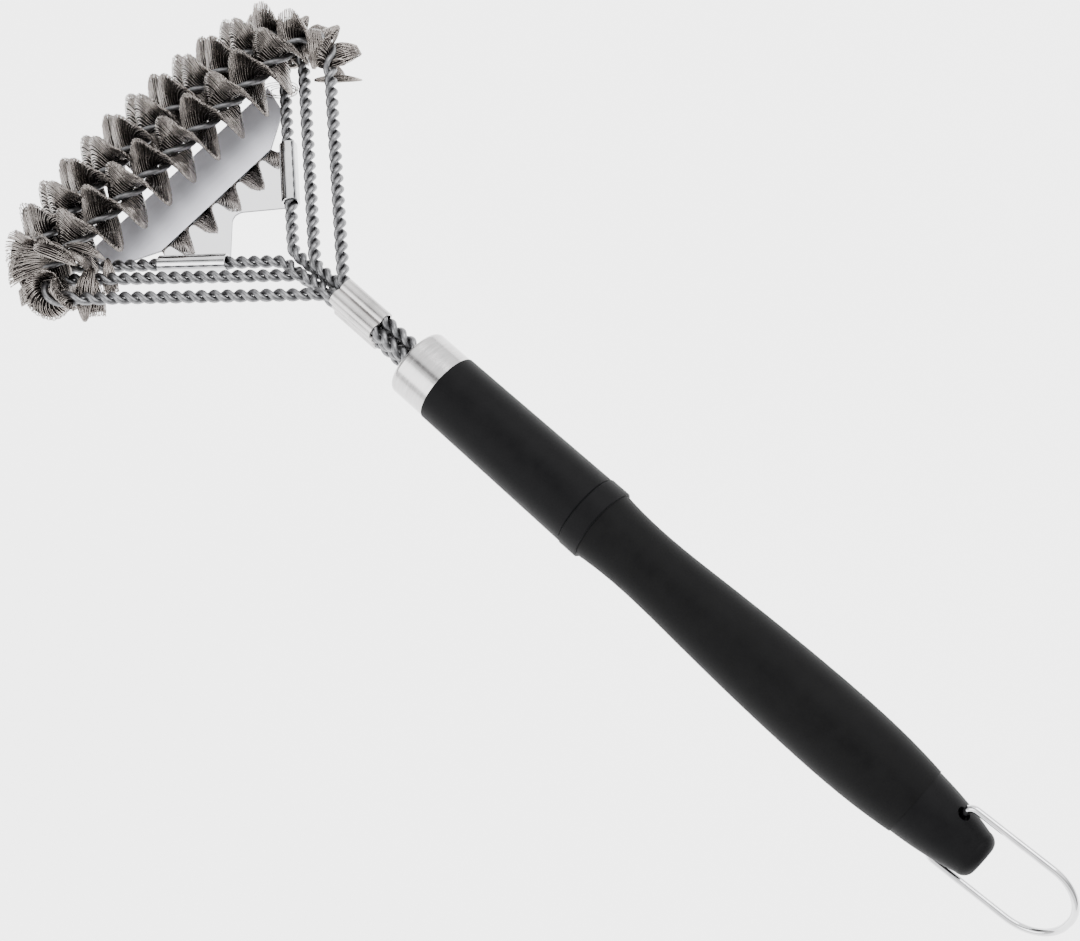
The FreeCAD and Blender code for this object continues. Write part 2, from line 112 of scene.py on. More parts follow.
def textured(name, dark, light, rough, metallic, scale, stretch=(1, 1, 1), bump=0.0, bump_scale=None,
             specular=None):
    """A material whose colour, roughness and surface vary with object-space noise."""
    material, tree, shader = new_material(name)
    place = node(tree, "ShaderNodeTexCoord")
    mapping = node(tree, "ShaderNodeMapping")
    mapping.inputs["Scale"].default_value = stretch
    tree.links.new(place.outputs["Object"], mapping.inputs["Vector"])
    noise = node(tree, "ShaderNodeTexNoise", Scale=scale, Detail=5.0, Roughness=0.6)
    tree.links.new(mapping.outputs["Vector"], noise.inputs["Vector"])
    colours = ramp(tree, noise.outputs["Fac"], [(0.32, dark), (0.68, light)])
    tree.links.new(colours.outputs["Color"], shader.inputs["Base Color"])
    shades = ramp(tree, noise.outputs["Fac"], [(0.3, grey(rough[0])), (0.7, grey(rough[1]))])
    tree.links.new(shades.outputs["Color"], shader.inputs["Roughness"])
    shader.inputs["Metallic"].default_value = metallic
    if specular is not None:
        shader.inputs["Specular IOR Level"].default_value = specular
    if bump:
        fine = node(tree, "ShaderNodeTexNoise", Scale=bump_scale or scale * 6, Detail=3.0)
        tree.links.new(mapping.outputs["Vector"], fine.inputs["Vector"])
        relief = node(tree, "ShaderNodeBump", Strength=bump, Distance=BUMP_DEPTH)
        tree.links.new(fine.outputs["Fac"], relief.inputs["Height"])
        tree.links.new(relief.outputs["Normal"], shader.inputs["Normal"])
    return material


MAT = {
    "heavy_wire": textured("heavy_wire_look", (0.10, 0.10, 0.104), (0.24, 0.24, 0.247), (0.34, 0.48), 1.0,
                           700, bump=0.3, bump_scale=2500),
    "knitted_mesh": textured("knitted_mesh_look", (0.20, 0.180, 0.168), (0.40, 0.365, 0.34),
                             (0.18, 0.30), 1.0, 260, bump=0.04, bump_scale=4000),
    # Near-black sheet inside the mesh: painted shade between the fine wires, standing in for the hidden inner
    # wires.
    "mesh_core": textured("mesh_shade_core_look", (0.006, 0.005, 0.0045), (0.018, 0.015, 0.013), (0.6, 0.75), 0.2,
                          900, bump=0.4, bump_scale=2600, specular=0.1),
    # Painted reflection on a satin blade: the steel gets a pale non-metallic colour that stands in for the
    # bright surroundings it reflects and lightens the shade from the mesh.
    "blade_satin_painted_reflection": textured("scraper_blade_look", (0.80, 0.80, 0.87), (0.86, 0.86, 0.93), (0.6, 0.7), 0.0,
                              60, stretch=(1, 6, 1), bump=0.05, bump_scale=900, specular=0.3),
    "scraper_web": textured("scraper_web_look", (0.84, 0.84, 0.86), (0.90, 0.90, 0.92), (0.02, 0.05), 1.0,
                            30, bump=0.02, bump_scale=300),
    "scraper_steel": textured("scraper_steel_look", (0.46, 0.46, 0.47), (0.64, 0.64, 0.65), (0.07, 0.16), 1.0,
                              80, bump=0.05, bump_scale=400),
    "crimp_steel": textured("crimp_steel_look", (0.34, 0.33, 0.325), (0.50, 0.485, 0.48), (0.22, 0.34), 1.0,
                            90, bump=0.12, bump_scale=500),
    "collar_steel": textured("collar_steel_look", (0.40, 0.39, 0.39), (0.50, 0.49, 0.49), (0.16, 0.24), 1.0,
                             120, stretch=(1, 8, 1), bump=0.05, bump_scale=900),
    "cut_steel": textured("cut_steel_look", (0.10, 0.10, 0.105), (0.22, 0.22, 0.23), (0.3, 0.5), 1.0,
                          200, bump=0.1, bump_scale=1200),
    "inner_steel": textured("inner_steel_look", (0.30, 0.30, 0.30), (0.42, 0.42, 0.42), (0.35, 0.5), 1.0,
                            150, bump=0.1, bump_scale=900),
    "black_plastic": textured("black_plastic_look", (0.0038, 0.0038, 0.0042), (0.0056, 0.0056, 0.0060),
                              (0.48, 0.58), 0.0, 160, bump=0.10, bump_scale=3200, specular=0.05),
    "grip_rubber": textured("grip_rubber_look", (0.0036, 0.0036, 0.0038), (0.0058, 0.0058, 0.0060),
                            (0.55, 0.66), 0.0, 140, bump=0.16, bump_scale=2600, specular=0.05),
    "core_plastic": textured("core_plastic_look", (0.05, 0.05, 0.05), (0.07, 0.07, 0.07), (0.5, 0.6), 0.0,
                             200, bump=0.1, bump_scale=1500),
    "loop_chrome": textured("loop_chrome_look", (0.52, 0.52, 0.53), (0.66, 0.66, 0.67), (0.05, 0.10), 1.0,
                            120, bump=0.02, bump_scale=900),
}


def make_piece(name, points, faces, look, replaces, smooth):
    """A mesh piece of the brush from handle-frame points in millimetres."""
    mesh = bpy.data.meshes.new(name)
    mesh.from_pydata(placed(points).tolist(), [], faces)
    mesh.materials.append(MAT[look])
    if smooth:
        mesh.polygons.foreach_set("use_smooth", [True] * len(mesh.polygons))
    mesh.update()
    obj = bpy.data.objects.new(name, mesh)
    bpy.context.scene.collection.objects.link(obj)
    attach(obj, "brush")
    if replaces:
        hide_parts(*replaces)
    return obj


class Build:
    """Collects tubes and sheets into one mesh."""

    def __init__(self):
        self.points, self.faces, self.count = [], [], 0

    def add(self, points, faces):
        used = np.unique(np.concatenate(faces))
        if len(used) < len(points):
            renumber = np.zeros(len(points), int)
            renumber[used] = np.arange(len(used))
            points, faces = points[used], [[int(renumber[i]) for i in f] for f in faces]
        self.points.append(points)
        self.faces.extend([[i + self.count for i in f] for f in faces])
        self.count += len(points)

    def tube(self, path, radius, sides, lead):
        """A closed round tube along a path. lead is any direction field that isn't along the path."""
        path = np.asarray(path, float)
        along = np.gradient(path, axis=0)
        along /= np.linalg.norm(along, axis=1)[:, None]
        lead = np.broadcast_to(lead, path.shape)
        first = lead - (lead * along).sum(1)[:, None] * along
        first /= np.linalg.norm(first, axis=1)[:, None]
        second = np.cross(along, first)
        turn = np.arange(sides) * 2 * math.pi / sides
        radius = np.broadcast_to(radius, (len(path),))
        ring = (first[:, None] * np.cos(turn)[None, :, None] + second[:, None] * np.sin(turn)[None, :, None])
        points = path[:, None] + ring * radius[:, None, None]
        faces = []
        for i in range(len(path) - 1):
            a, b = i * sides, (i + 1) * sides
            for k in range(sides):
                n = (k + 1) % sides
                faces.append((a + k, a + n, b + n, b + k))
        faces.append(tuple(range(sides))[::-1])
        last = (len(path) - 1) * sides
        faces.append(tuple(range(last, last + sides)))
        self.add(points.reshape(-1, 3), faces)

    def bundle(self, paths, radius, sides, lead):
        """Many closed tubes with the same number of stations. paths is (tube, station, xyz)."""
        count, steps = paths.shape[:2]
        along = np.gradient(paths, axis=1)
        along /= np.linalg.norm(along, axis=2, keepdims=True)
        first = lead - (lead * along).sum(2, keepdims=True) * along
        first /= np.linalg.norm(first, axis=2, keepdims=True)
        second = np.cross(along, first)
        turn = (np.arange(sides) * 2 * math.pi / sides)[None, None, :, None]
        ring = first[:, :, None] * np.cos(turn) + second[:, :, None] * np.sin(turn)
        points = paths[:, :, None] + ring * np.reshape(radius, (-1, 1, 1, 1))
        index = np.arange(count * steps * sides).reshape(count, steps, sides)
        beside = np.roll(index, -1, axis=2)
        quads = np.stack([index[:, :-1], beside[:, :-1], beside[:, 1:], index[:, 1:]], axis=-1).reshape(-1, 4)
        ends = np.concatenate([index[:, 0, ::-1], index[:, -1]])
        self.add(points.reshape(-1, 3), quads.tolist() + ends.tolist())

    def piece(self, name, look, slot, replaces=(), smooth=True):
        return make_piece(name, np.concatenate(self.points), self.faces, look, replaces, smooth)


# ---------------------------------------------------------------- the three wire loops

# Each loop: where its arms meet, where its row lies, the row's bow and level, the ropes' height in
# the neck and where the arms start, then the row's twist.
LOOPS = {
    "top": {"vertex": 96.0, "row": 192.8, "bow": 0.6, "level": -8.5, "neck": 5.08, "start": None,
            "lead": 25.7, "phase": -0.10},
    "middle": {"vertex": 113.6, "row": 206.5, "bow": 4.0, "level": -17.0, "neck": 0.0, "start": -3.1,
               "lead": 23.6, "phase": 0.70},
    "bottom": {"vertex": 127.5, "row": 214.6, "bow": 4.2, "level": -25.5, "neck": -5.08, "start": -11.0,
               "lead": 23.6, "phase": 0.49},
}
HALF, BUNDLE_END, BUNDLE_FRONT = 2.54, 38.8, 99.6
CORNER, NECK_BEND, TAIL = 8.0, 9.0, 7.0
ARM_SLOPE = math.tan(math.radians(40))

# the pair of heavy wires and how its twist opens out where it grips the mesh
ARM_LEAD = 9.9
WIRE = 1.2
WIRE_SIDES = 12
WIRE_STATION = 0.42
TIGHT = 1.31
PINCH = 0.61
TWIST_EASE = 5.0
PINCH_EASE = 4.0

# the blades of mesh
MESH_RADIUS = 13.6
CORNER_RADIUS = 8.0
CORNER_EASE = 3.0
CORNER_INSIDE = 0.8
TAIL_SHARE = 0.6
TAIL_EASE = 6.0
REACH_SMOOTHING = 9
LAYER_PINCHED, LAYER_BULGE = 0.45, 1.35
SHADE_CORE_STATIONS = 32

# the fine wires and how much they stray
WIRE_PITCH = 0.86
WIRE_SKEW = 0.3
FINE_WIRE = 0.20
ROW_MARGIN = 0.5
MEAN_LENGTH = 0.985
START_STRAY, PATH_STRAY, LENGTH_STRAY, HEIGHT_STRAY = 0.06, 0.010, 0.012, 0.12

# the rolled edge that they turn round
EDGE_WIRE = 0.13
EDGE_WIRE_SIDES = 3
EDGE_STATION = 0.16
EDGE_LOOP = 1.7
EDGE_DEPTH = 1.5
EDGE_HEIGHT = 1.25
EDGE_DRIFT = 0.12
EDGE_GRAIN = 9

# Half section of a blade's near-black core sheet, painted shade that stands in for the hidden inner wires:
# shares of its reach and heights in millimetres.
SHADE_CORE_SECTION = ((0.1, 0.15), (0.5, 0.22), (0.80, 0.16), (0.88, 0.0),
                (0.80, -0.16), (0.5, -0.22), (0.1, -0.15))

# distance between the points of a route, and how the outer mesh leans along the row
STEP = 0.1
LEAN = 0.32
LEAN_START = 2.9
LEAN_AXIS = np.array([0.0, math.cos(math.radians(15.7)), math.sin(math.radians(15.7))])


def unit(vector):
    return vector / np.linalg.norm(vector)


class Route:
    """Centre line of one loop with the twist that its wires and mesh share."""

    def __init__(self, name):
        dims = LOOPS[name]
        self.name = name
        x = (dims["row"] - dims["vertex"]) * ARM_SLOPE
        right = [(HALF, BUNDLE_END, dims["neck"]), (HALF, BUNDLE_FRONT, dims["neck"])]
        if dims["start"] is not None:
            right.append((HALF, dims["vertex"] + HALF / ARM_SLOPE, dims["start"]))
        right.append((x, dims["row"], dims["level"]))
        crown = [(0, dims["row"] + 2 * dims["bow"], dims["level"])]
        corners = right + crown + [(-p[0], p[1], p[2]) for p in reversed(right)]
        corners = [np.array(p, float) for p in corners]
        middle = len(corners) // 2
        radii = [NECK_BEND] * len(corners)
        radii[middle - 1] = radii[middle + 1] = CORNER
        half_bar = corners[middle - 1][0]
        radii[middle] = half_bar * 0.5 / ((corners[middle][1] - corners[middle - 1][1]) / half_bar)
        path = []
        self.corners = []
        current = corners[0]
        for i in range(1, len(corners) - 1):
            before, after = unit(corners[i] - corners[i - 1]), unit(corners[i + 1] - corners[i])
            turn = math.acos(float(np.clip(before @ after, -1, 1)))
            cut = radii[i] * math.tan(turn / 2)
            start, end = corners[i] - before * cut, corners[i] + after * cut
            centre = corners[i] + unit(after - before) * radii[i] / math.cos(turn / 2)
            count = max(2, int(np.linalg.norm(start - current) / STEP))
            path.extend(current + (start - current) * k / count for k in range(count))
            outward = unit(start - centre)
            forward = np.cross(unit(np.cross(outward, end - centre)), outward)
            count = max(4, int(radii[i] * turn / STEP))
            if i in (middle - 1, middle + 1):
                self.corners.append((len(path), count))
            for k in range(count):
                angle = turn * k / count
                path.append(centre + radii[i] * (outward * math.cos(angle) + forward * math.sin(angle)))
            current = end
        count = max(2, int(np.linalg.norm(corners[-1] - current) / STEP))
        path.extend(current + (corners[-1] - current) * k / count for k in range(count + 1))
        path = np.array(path)
        length = np.r_[0, np.cumsum(np.linalg.norm(np.diff(path, axis=0), axis=1))]
        self.corners = [(length[i], length[i + n]) for i, n in self.corners]
        self.mesh = (self.corners[0][0] - TAIL, self.corners[1][1] + TAIL)
        self.s = np.arange(0, length[-1], STEP)
        self.p = np.stack([np.interp(self.s, length, path[:, k]) for k in range(3)], axis=1)
        tangent = np.gradient(self.p, axis=0)
        self.t = tangent / np.linalg.norm(tangent, axis=1)[:, None]
        self.bend = np.gradient(self.t, axis=0) / STEP
        inside = np.minimum(self.s - self.mesh[0], self.mesh[1] - self.s)
        share = np.clip(0.5 + 0.5 * inside / TWIST_EASE, 0, 1)
        lead = ARM_LEAD * (1 - share) + dims["lead"] * share
        twist = np.cumsum(2 * math.pi * STEP / lead)
        self.twist = twist - np.interp(length[-1] / 2, self.s, twist) + math.pi / 2 + dims["phase"]
        side = np.cross([0, 0, 1.0], self.t)
        self.side = side / np.linalg.norm(side, axis=1)[:, None]
        self.up = np.cross(self.t, self.side)
        share = np.clip(1 + inside / PINCH_EASE, 0, 1)
        self.strand_offset = TIGHT + PINCH * share

    def at(self, s, values):
        if values.ndim == 1:
            return np.interp(s, self.s, values)
        return np.stack([np.interp(s, self.s, values[:, k]) for k in range(values.shape[1])], axis=1)

    def away(self, s, angle):
        """Unit direction across the loop's line at that angle round it."""
        return self.at(s, self.side) * np.cos(angle)[:, None] + self.at(s, self.up) * np.sin(angle)[:, None]


def heavy_wire(route, number):
    s = np.arange(0, route.s[-1], WIRE_STATION)
    angle = route.at(s, route.twist) + math.pi * (number - 1)
    outward = route.away(s, angle)
    centre = route.at(s, route.p) + outward * route.at(s, route.strand_offset)[:, None]
    build = Build()
    build.tube(centre, WIRE, WIRE_SIDES, outward)
    name = "%s_loop_wire_%d" % (route.name, number)
    build.piece(name + "_drawn", "heavy_wire", "heavy_wire", replaces=[name])


def blade_reach(route, s, outward):
    """Blade length, shortened on the inside of the corners and towards the tails."""
    bend = route.at(s, route.bend)
    inward = (outward * bend).sum(1)
    limit = CORNER_INSIDE / np.maximum(inward, 1e-4)
    past = np.maximum(route.corners[0][1] - s, s - route.corners[1][0])
    share = np.clip(0.5 + 0.5 * past / CORNER_EASE, 0, 1)
    taper = MESH_RADIUS * (1 - share) + CORNER_RADIUS * share
    inside = np.minimum(s - route.mesh[0], route.mesh[1] - s)
    taper = taper * (TAIL_SHARE + (1 - TAIL_SHARE) * np.clip(inside / TAIL_EASE, 0, 1))
    reach = np.minimum(taper, limit)
    kernel = np.ones(REACH_SMOOTHING) / REACH_SMOOTHING
    return np.convolve(np.pad(reach, REACH_SMOOTHING // 2, mode="edge"), kernel, mode="valid")


def leaned(offset):
    """The outer mesh leans along the row: forward blades one way, backward blades the other."""
    forward = offset @ LEAN_AXIS
    beyond = np.maximum(0.0, np.abs(forward) - LEAN_START)
    return offset + (np.copysign(LEAN * beyond, forward))[..., None] * np.array([1.0, 0.0, 0.0])


def layer_height(share):
    """Half thickness of the flattened tube from its pinched middle to its folded edge."""
    return LAYER_PINCHED + LAYER_BULGE * np.sin(math.pi * np.clip(share, 0, 1) ** 1.2) ** 0.9


def wobble(count, size, grain):
    """Smooth random drift along a wire."""
    knots = rng.normal(0, size, max(4, count // grain + 3))
    return np.interp(np.linspace(0, len(knots) - 1, count), np.arange(len(knots)), knots)


def strip_faces(count, sides):
    """Quads round a swept closed section, with both ends closed."""
    faces = []
    for i in range(count - 1):
        a, b = i * sides, (i + 1) * sides
        for k in range(sides):
            n = (k + 1) % sides
            faces.append((a + k, a + n, b + n, b + k))
    faces.append(tuple(range(sides))[::-1])
    faces.append(tuple(range((count - 1) * sides, count * sides)))
    return faces


def fine_wires(route, layer, share, shift):
    """Paths of the fine wires of one layer that run between two shares of the row's width."""
    start = np.arange(route.mesh[0] + ROW_MARGIN, route.mesh[1] - ROW_MARGIN, WIRE_PITCH)
    start = start + (layer / 4 + shift) * WIRE_PITCH + rng.normal(0, START_STRAY, len(start))
    across = route.at(start, route.twist) + math.pi / 2
    reaches = [blade_reach(route, start, route.away(start, across + math.pi * side)) for side in (0, 1)]
    drift = rng.normal(0, PATH_STRAY, (len(start), len(share))).cumsum(axis=1)
    long = MEAN_LENGTH + rng.normal(0, LENGTH_STRAY, (len(start), 1))
    radius = np.where(share >= 0, reaches[0][:, None], reaches[1][:, None]) * share * long
    s = np.clip(start[:, None] + WIRE_SKEW * radius + drift * 2, route.mesh[0], route.mesh[1])
    flat = s.ravel()
    outward = route.away(flat, route.at(flat, route.twist) + math.pi / 2).reshape(*s.shape, 3)
    normal = np.cross(route.at(flat, route.t).reshape(*s.shape, 3), outward)
    lift = rng.normal(0, HEIGHT_STRAY, (len(start), 1))
    height = layer * (layer_height(np.abs(share)) + lift + drift)
    offset = outward * radius[..., None] + normal * height[..., None]
    return route.at(flat, route.p).reshape(*s.shape, 3) + leaned(offset), normal


# Shares of the row's width that the fine wires span, and their shift in pitches: every other wire
# stays in the outer part, where the blades open out.
WIRE_SPANS = ((np.linspace(-1, 1, 19), 0.0), (np.linspace(0.45, 1, 7), 0.5), (np.linspace(-1, -0.45, 7), 0.5))


def mesh_row(route):
    """One row: a near-black core sheet in each blade, painted shade that stands in for the hidden inner
    wires, its fine wires and their rolled edges.
    """
    lead = LOOPS[route.name]["lead"]
    wires = Build()
    for layer in (1, -1):
        for share, shift in WIRE_SPANS:
            paths, normal = fine_wires(route, layer, share, shift)
            wires.bundle(paths, FINE_WIRE * rng.uniform(0.8, 1.2, len(paths)), 4, normal)
    # The near-black core sheets: painted shade inside each blade, between its two layers of fine wires.
    s = np.arange(route.mesh[0], route.mesh[1], lead / SHADE_CORE_STATIONS)
    twist = route.at(s, route.twist) + math.pi / 2
    core = Build()
    for side in (0, 1):
        outward = route.away(s, twist + math.pi * side)
        reach = blade_reach(route, s, outward)
        normal = np.cross(route.at(s, route.t), outward)
        rim = [leaned(outward * (reach * share)[:, None] + normal * height) for share, height in SHADE_CORE_SECTION]
        rings = np.stack(rim, axis=1) + route.at(s, route.p)[:, None]
        core.add(rings.reshape(-1, 3), strip_faces(len(s), rings.shape[1]))
    node_name = route.name + "_mesh_row"
    core.piece(node_name + "_core", "mesh_core", "knitted_mesh", replaces=[node_name])
    wires.piece(node_name + "_wires", "knitted_mesh", "knitted_mesh")
    edges = Build()
    fine = np.arange(route.mesh[0], route.mesh[1], EDGE_STATION)
    for side in (0, 1):
        outward = route.away(fine, route.at(fine, route.twist) + math.pi / 2 + math.pi * side)
        reach = blade_reach(route, fine, outward)
        normal = np.cross(route.at(fine, route.t), outward)
        for start in (0.0, 0.5):
            for hand in (1, -1):
                turn = hand * 2 * math.pi * (fine / EDGE_LOOP + start)
                stray = wobble(len(fine), EDGE_DRIFT, EDGE_GRAIN)
                radius = reach - EDGE_DEPTH + EDGE_DEPTH * np.cos(turn) + stray
                height = EDGE_HEIGHT * np.sin(turn)
                offset = outward * radius[:, None] + normal * height[:, None]
                path = route.at(fine, route.p) + leaned(offset)
                edges.tube(path, EDGE_WIRE, EDGE_WIRE_SIDES, normal * 0.3 + outward)
    edges.piece(node_name + "_edges", "knitted_mesh", "knitted_mesh")


# ---------------------------------------------------------------- loose mesh ends at the corners

LEAF_STATIONS = 22
LEAF_HALF = 0.9
LEAF_SPAN = 0.97
LEAF_SWAY, LEAF_LIFT, LEAF_GRAIN = 0.035, 0.10, 5
LEAF_RIMS = 5
RIM_STATIONS = 30
RIM_FIRST, RIM_GAP, RIM_ZIGZAG = 0.97, 0.08, 0.035
RIM_WAVES, RIM_SHIFT = 22, 2.1
# Section of the near-black sheet inside a lobe: painted shade between its wires.
LEAF_SHADE_CORE = ((-0.86, 0.0), (-0.4, 0.28), (0.4, 0.28), (0.86, 0.0), (0.4, -0.28), (-0.4, -0.28))
RING_WIRE = 0.14
RING_WIRE_SIDES = 5
RING_STATIONS = 40
RING_RISE = 0.22
RING_SWELL = 0.12


def leaf_surface(base, tip, width, face, bow, fan, blunt):
    """A lobe of flattened mesh: where a point lies for its share along (u) and across (w)."""
    base, tip = np.array(base, float), np.array(tip, float)
    length = np.linalg.norm(tip - base)
    along = (tip - base) / length
    across = unit(np.cross(face, along))
    normal = np.cross(along, across)

    def spot(u, w, height):
        spread = (np.sin(math.pi * np.clip(u, 0, 1) ** 0.8) ** 0.75) * (1 - fan) + fan * u ** 0.8
        shorten = 1 - blunt * w ** 2
        return (base + along * (length * u * shorten)[:, None] + across * (width / 2 * w * spread)[:, None]
                + normal * (bow * np.sin(math.pi * u) + height)[:, None])
    return spot


def add_leaf(wires, core, base, tip, width, face, bow=2.0, fan=0.0, blunt=0.0, count=11, tufts=0.0):
    """A lobe of loose mesh: lengthwise wires, zigzag rims near the tip and a thin near-black core sheet,
    painted shade between its wires.
    """
    spot = leaf_surface(base, tip, width, face, bow, fan, blunt)
    lead = np.cross(np.array(tip, float) - np.array(base, float), face)
    u = np.linspace(0.02, 1.0, LEAF_STATIONS)
    for layer in (1, -1):
        for w in np.linspace(-LEAF_SPAN, LEAF_SPAN, count):
            thick = layer * LEAF_HALF * np.sin(math.pi * np.clip(u, 0, 1)) ** 0.5 * math.sqrt(1 - w * w)
            reach = 1 + rng.uniform(-tufts, tufts * 0.4)
            sway = wobble(LEAF_STATIONS, LEAF_SWAY, LEAF_GRAIN)
            lift = wobble(LEAF_STATIONS, LEAF_LIFT, LEAF_GRAIN)
            path = spot(u * reach, w + sway, thick + lift)
            wires.tube(path, FINE_WIRE, 4, lead)
        for k in range(LEAF_RIMS):
            w = np.linspace(-0.9, 0.9, RIM_STATIONS)
            zigzag = RIM_FIRST - RIM_GAP * k + RIM_ZIGZAG * np.sin(w * RIM_WAVES + k * RIM_SHIFT)
            thick = layer * np.sin(math.pi * np.clip(zigzag, 0, 1)) ** 0.5 * np.sqrt(1 - w * w)
            wires.tube(spot(zigzag, w, thick), EDGE_WIRE, EDGE_WIRE_SIDES, np.cross(lead, face))
    grid = np.linspace(0.06, 0.9, 12)
    rings = []
    for share in grid:
        rings.append(np.concatenate([spot(np.array([share]), np.array([w]), np.array([height]))
                                     for w, height in LEAF_SHADE_CORE]))
    core.add(np.concatenate(rings), strip_faces(len(rings), len(LEAF_SHADE_CORE)))


def add_ring(wires, middle, first, second, turns):
    """Loose end of one mesh wire, curled into rings."""
    angle = np.linspace(0, 2 * math.pi * turns, int(RING_STATIONS * turns))
    grow = 1 + RING_SWELL * np.sin(angle * 0.37 + 1.0)
    lift = np.cross(first, second)
    lift = lift / np.linalg.norm(lift)
    path = (np.array(middle, float) + np.array(first, float) * (np.cos(angle) * grow)[:, None]
            + np.array(second, float) * (np.sin(angle) * grow)[:, None] + lift * (RING_RISE * angle)[:, None])
    wires.tube(path, RING_WIRE, RING_WIRE_SIDES, lift)


# Loose lobes: loop, base, tip, width, face, and the shape settings of add_leaf. They lie where the
# knitted tube's ends come out untidily at the corners, so each has a place of its own.
LEAVES = [
    ("top", (-60.5, 191.5, -7.5), (-74.0, 205.5, -9.5), 21, (0.1, 0.2, 1),
     dict(fan=0.9, blunt=0.12, count=19)),
    ("top", (-62.5, 201.5, -3.5), (-57.0, 182.5, -2.5), 7, (0.2, 0.1, 1), dict(bow=3.0, count=9)),
    ("top", (-54.0, 194.5, -6.0), (-47.7, 179.6, -8.0), 4.5, (0.5, 0.2, 1), dict(count=6)),
    ("top", (-52.8, 182.5, -9.0), (-69.0, 168.8, -12.0), 10, (-0.2, 0.5, 1),
     dict(fan=0.2, tufts=0.05, count=11)),
    ("top", (-55.0, 180.5, -11.0), (-64.5, 168.5, -15.0), 9, (0.6, 0.3, 1),
     dict(fan=0.7, tufts=0.08, count=9)),
    ("middle", (-46.0, 182.0, -12.0), (-54.5, 171.0, -14.0), 7, (0.2, 0.3, 1),
     dict(fan=0.8, bow=0.5, count=10)),
    ("top", (-63.5, 187.5, -12.0), (-70.5, 180.5, -15.0), 6, (0.1, 0.4, 1),
     dict(fan=0.8, tufts=0.10, count=8)),
    ("top", (63.5, 178.5, -8.0), (79.0, 172.5, -9.0), 14, (0.0, 0.2, 1), dict(fan=0.35, count=13)),
    ("top", (59.0, 178.5, -13.0), (71.5, 164.0, -12.5), 3.6, (0.1, 0.2, 1), dict(bow=1.0, count=6)),
    ("top", (60.3, 178.0, -6.5), (73.0, 189.0, -5.0), 7.5, (0.0, -0.4, 1), dict(fan=0.6, count=12)),
    ("middle", (66.0, 192.0, -17.0), (80.0, 196.0, -18.0), 10, (0.2, 0.2, 1), dict(fan=0.5, count=11)),
    ("middle", (66.0, 190.0, -20.0), (72.0, 178.0, -26.0), 8, (0.3, 0.3, 1), dict(fan=0.4, count=9)),
    ("middle", (-66.0, 193.0, -18.0), (-79.0, 200.0, -22.0), 11, (-0.2, 0.2, 1), dict(fan=0.6, count=11)),
    ("bottom", (62.0, 199.0, -26.0), (76.0, 205.0, -29.0), 10, (0.2, 0.3, 1), dict(fan=0.5, count=11)),
    ("bottom", (-62.0, 199.0, -26.0), (-76.0, 206.0, -30.0), 11, (-0.2, 0.3, 1), dict(fan=0.5, count=11)),
    ("bottom", (-60.0, 197.0, -28.0), (-66.0, 186.0, -32.0), 8, (-0.2, 0.3, 1), dict(fan=0.5, count=9)),
]

# Curled ends of single wires: loop, middle, the ring's two half axes and its turns.
RINGS = [
    ("top", (-69.5, 187.5, -10.0), (3.6, -1.8, 0.5), (1.0, 2.4, 0.4), 2.6),
    ("top", (-68.0, 186.5, -11.0), (3.0, -1.6, 0.5), (1.2, 2.0, 0.4), 1.8),
    ("bottom", (49.8, 190.0, -23.0), (4.6, -5.2, 0.3), (1.9, 2.0, 0.4), 3.2),
    ("bottom", (50.6, 189.2, -24.2), (3.6, -4.2, 0.3), (1.4, 1.5, 0.4), 2.4),
]


def loose_ends(name):
    wires, core = Build(), Build()
    for owner, base, tip, width, face, shape in LEAVES:
        if owner == name:
            add_leaf(wires, core, base, tip, width, np.array(face, float), **shape)
    for owner, middle, first, second, turns in RINGS:
        if owner == name:
            add_ring(wires, middle, first, second, turns)
    wires.piece(name + "_mesh_row_ends", "knitted_mesh", "knitted_mesh")
    # The lobes' near-black core sheets: painted shade between their wires.
    core.piece(name + "_mesh_row_ends_core", "mesh_core", "knitted_mesh")


for loop_name in LOOPS:
    route = Route(loop_name)
    heavy_wire(route, 1)
    heavy_wire(route, 2)
    mesh_row(route)
    loose_ends(loop_name)

# ---------------------------------------------------------------- scraper plate

PLATE = {"level": -3.25, "thick": 0.8, "bend": 47.3, "reach": 29.4, "drop": 12.0, "round": 1.6,
         "sleeve_start": 26.0, "sleeve_end": 53.0, "bore": 2.7, "notch": 37.5, "notch_round": 4.0,
         "lip_bore": 2.78, "lip_outer": 3.36, "lip_in": 0.1, "lip_out": 0.16, "row": 0.45}
COLUMNS = 13
SLEEVE_SIDES = 48
CREASE_ANGLE = math.radians(35)

# Half widths of the sheet at distances ahead of the arms' apex.
OUTLINE = ((20.06, 16.5), (40.9, 33.7), (44.1, 29.8), (47.3, 29.0), (59.3, 45.0), (76.1, 50.0))


def plate_frame():
    """Apex of the bottom arms and the plane they lie in."""
    dims = LOOPS["bottom"]
    start = np.array([HALF, dims["vertex"] + HALF / ARM_SLOPE, dims["start"]])
    corner = np.array([(dims["row"] - dims["vertex"]) * ARM_SLOPE, dims["row"], dims["level"]])
    pitch = math.atan2(start[2] - corner[2], corner[1] - start[1])
    ahead = np.array([0, math.cos(pitch), -math.sin(pitch)])
    above = np.array([0, math.sin(pitch), math.cos(pitch)])
    arm = unit(corner - start)
    return start - arm * (start[0] / arm[0]), ahead, above, arm


APEX, AHEAD, ABOVE, ARM = plate_frame()


